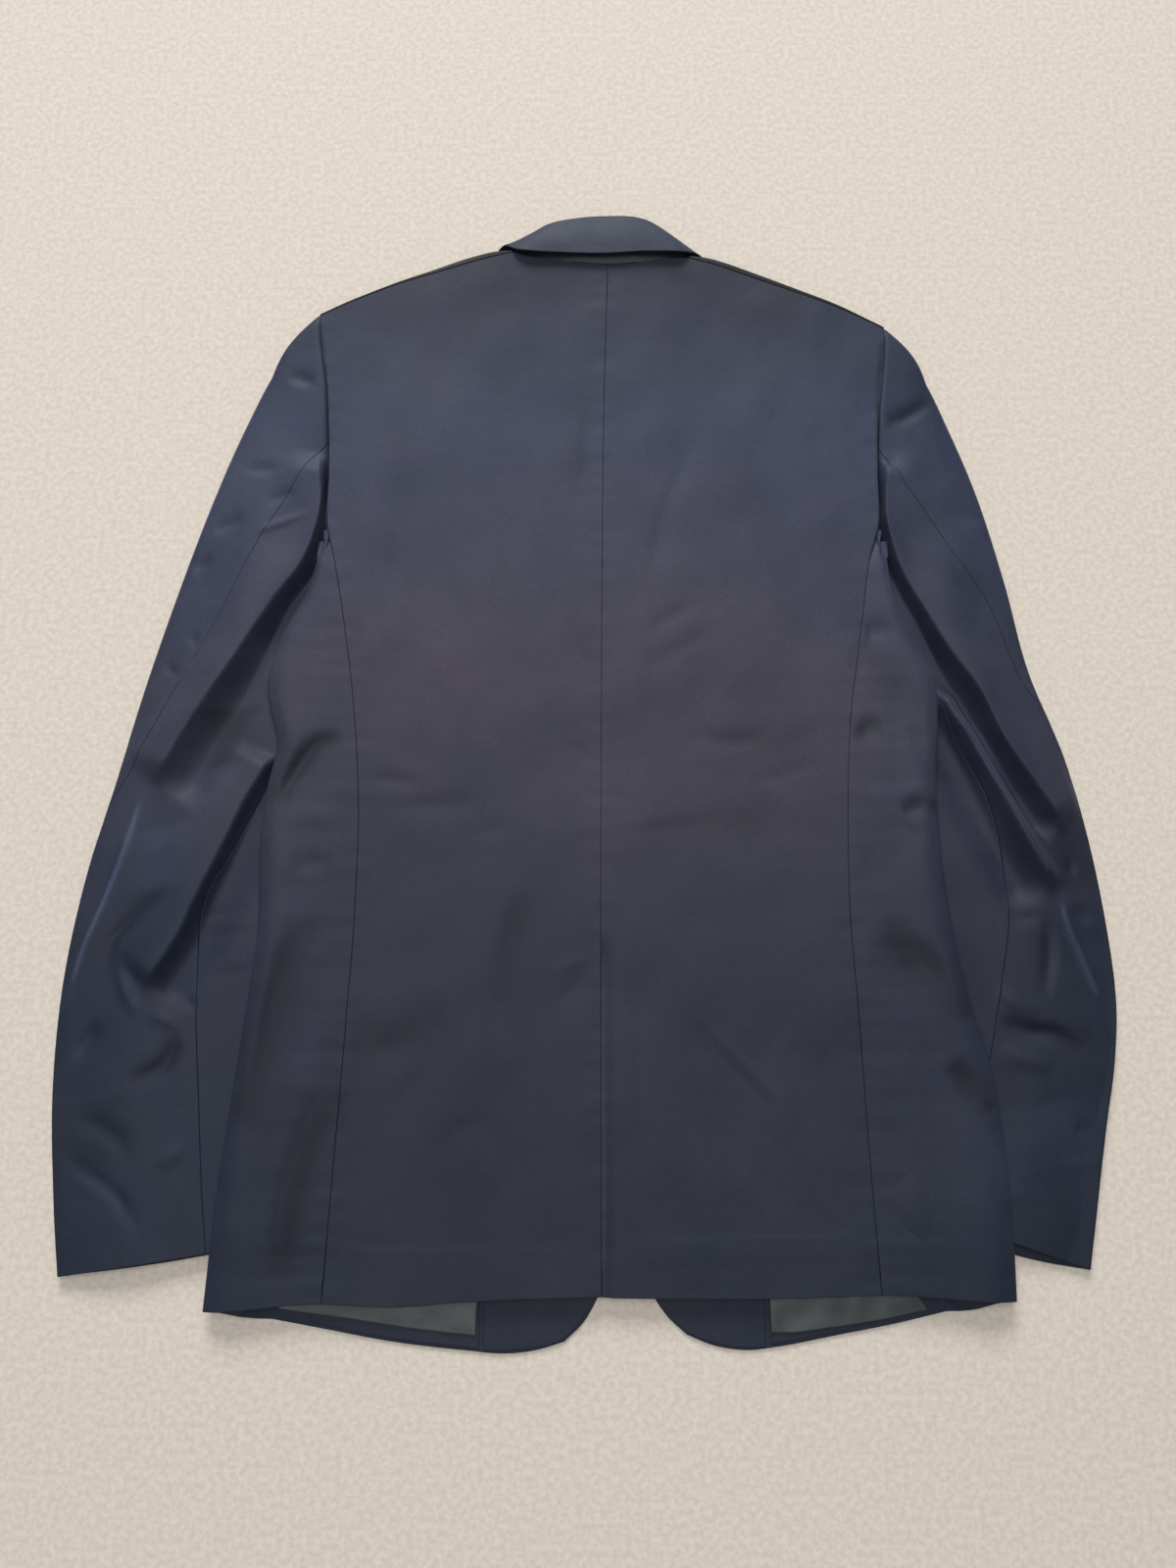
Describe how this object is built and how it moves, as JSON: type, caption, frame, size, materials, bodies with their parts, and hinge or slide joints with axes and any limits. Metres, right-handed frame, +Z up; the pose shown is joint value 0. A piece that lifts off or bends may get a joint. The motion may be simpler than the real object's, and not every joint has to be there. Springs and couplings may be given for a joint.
{
  "type": "tailored jacket",
  "caption": "Single-breasted tailored jacket laid flat face down, back up, with a centre vent, notched collar and two-piece sleeves.",
  "frame": {"origin": "centre of the garment's outline on the surface that it lies on", "axes": "+Y from the hem to the collar, +X to the right seen from above with the collar away, +Z up through the back"},
  "size_m": [0.7076, 0.8052, 0.0265],
  "materials": {
    "suiting": "fine navy twill with a soft sheen",
    "lining": "dark green-grey satin",
    "undercollar": "matte felt",
    "buttons": "dark horn look"
  },
  "bodies": {
    "root": {"back_left": "suiting", "back_right": "suiting", "side_left": "suiting", "side_right": "suiting", "front_left": "suiting", "front_right": "suiting", "under_sleeve_left": "suiting", "under_sleeve_right": "suiting", "top_sleeve_left": "suiting", "top_sleeve_right": "suiting", "collar_leaf": "suiting", "collar_stand": "undercollar", "lapel_left": "suiting", "lapel_right": "suiting", "facing_left": "suiting", "facing_right": "suiting", "lining_left": "lining", "lining_right": "lining", "turn_up_left": "suiting", "turn_up_right": "suiting", "button_1": "buttons", "button_2": "buttons"}
  },
  "joints": []
}
